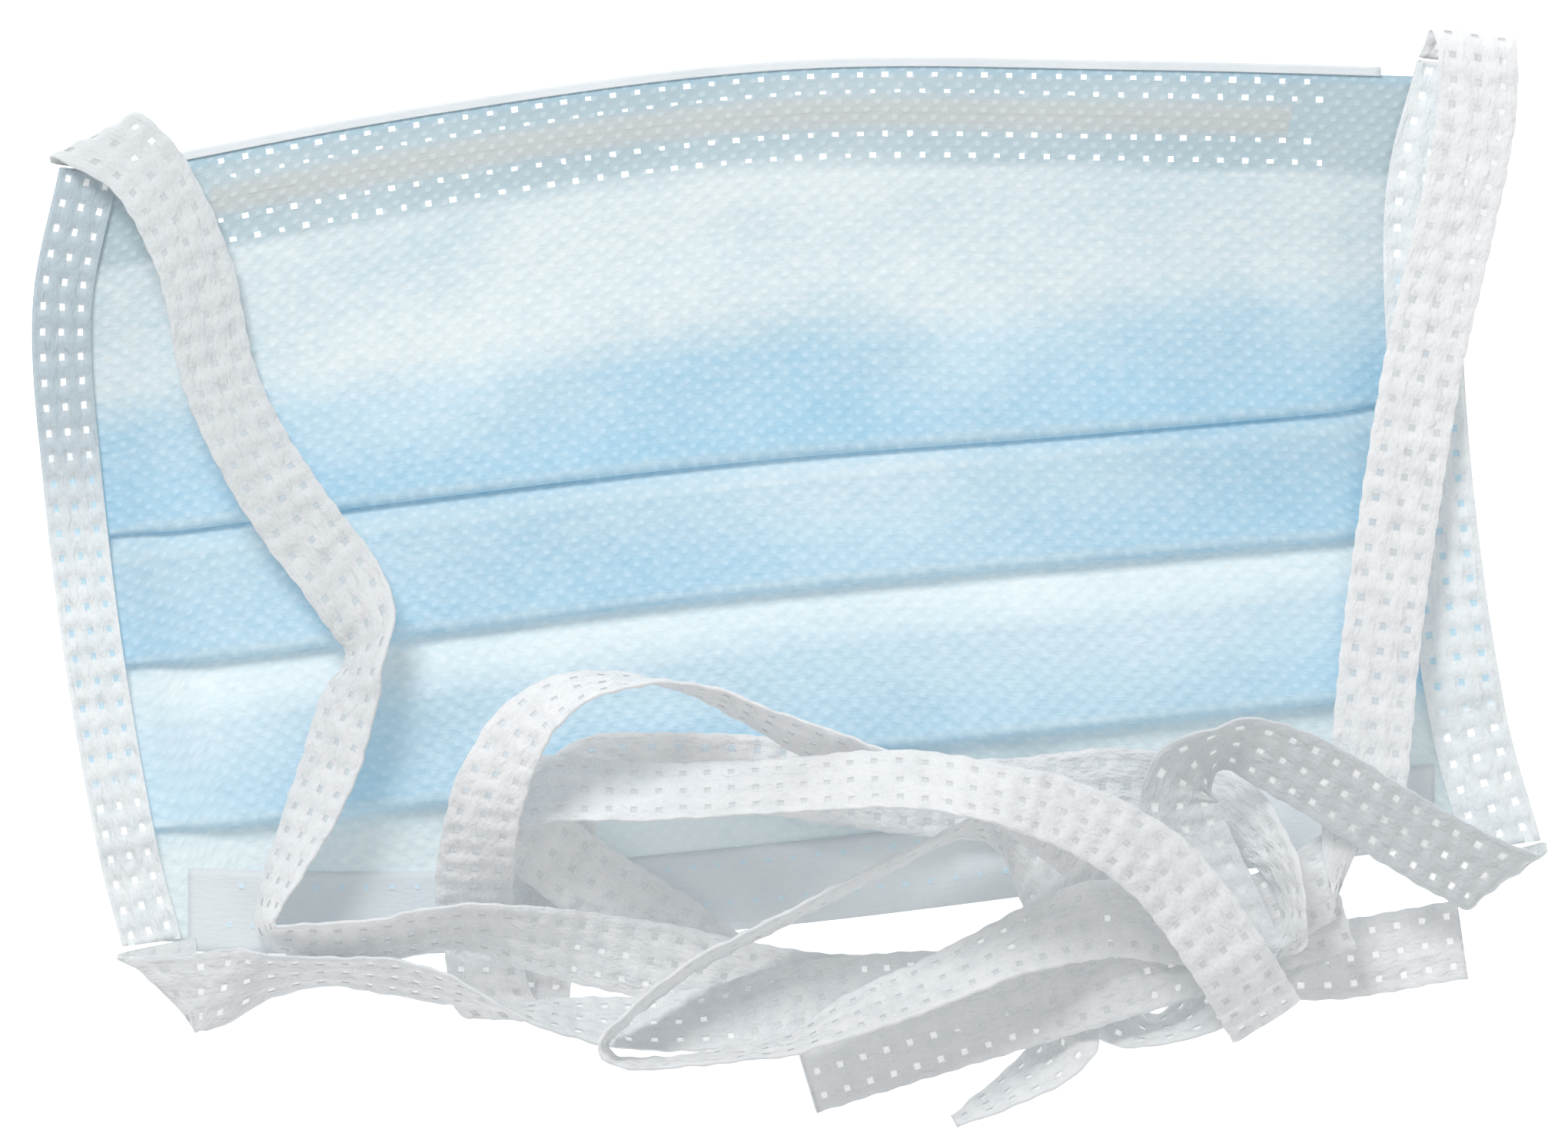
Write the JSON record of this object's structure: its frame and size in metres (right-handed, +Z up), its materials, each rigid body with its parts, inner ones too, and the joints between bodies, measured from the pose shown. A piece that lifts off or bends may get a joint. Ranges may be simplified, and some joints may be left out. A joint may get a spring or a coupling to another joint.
{
  "type": "surgical face mask",
  "caption": "Pleated tie-on surgical face mask lying flat, outer side up, with folded tape bindings at its sides and loose flat ties thrown over its lower half.",
  "frame": {"origin": "middle of the footprint, on the surface that the mask lies on", "axes": "+X along the mask's width, +Y towards its nose edge, +Z up out of its outer side"},
  "size_m": [0.1912, 0.1392, 0.0375],
  "materials": {
    "blue_laminate": "matte spunbond nonwoven",
    "lining": "matte white nonwoven, welded in dots",
    "binding_tape": "white nonwoven tape, perforated",
    "tie_tape": "white nonwoven tape, welded in dots",
    "wire": "plain strip inside the casing"
  },
  "bodies": {
    "root": {"mask_body": "blue_laminate", "nose_wire": "wire", "top_hem": "lining", "bottom_hem": "lining", "left_binding": "binding_tape", "right_binding": "binding_tape", "upper_left_tie": "tie_tape", "lower_left_tie": "tie_tape", "upper_right_tie": "tie_tape", "lower_right_tie": "tie_tape"}
  },
  "joints": []
}
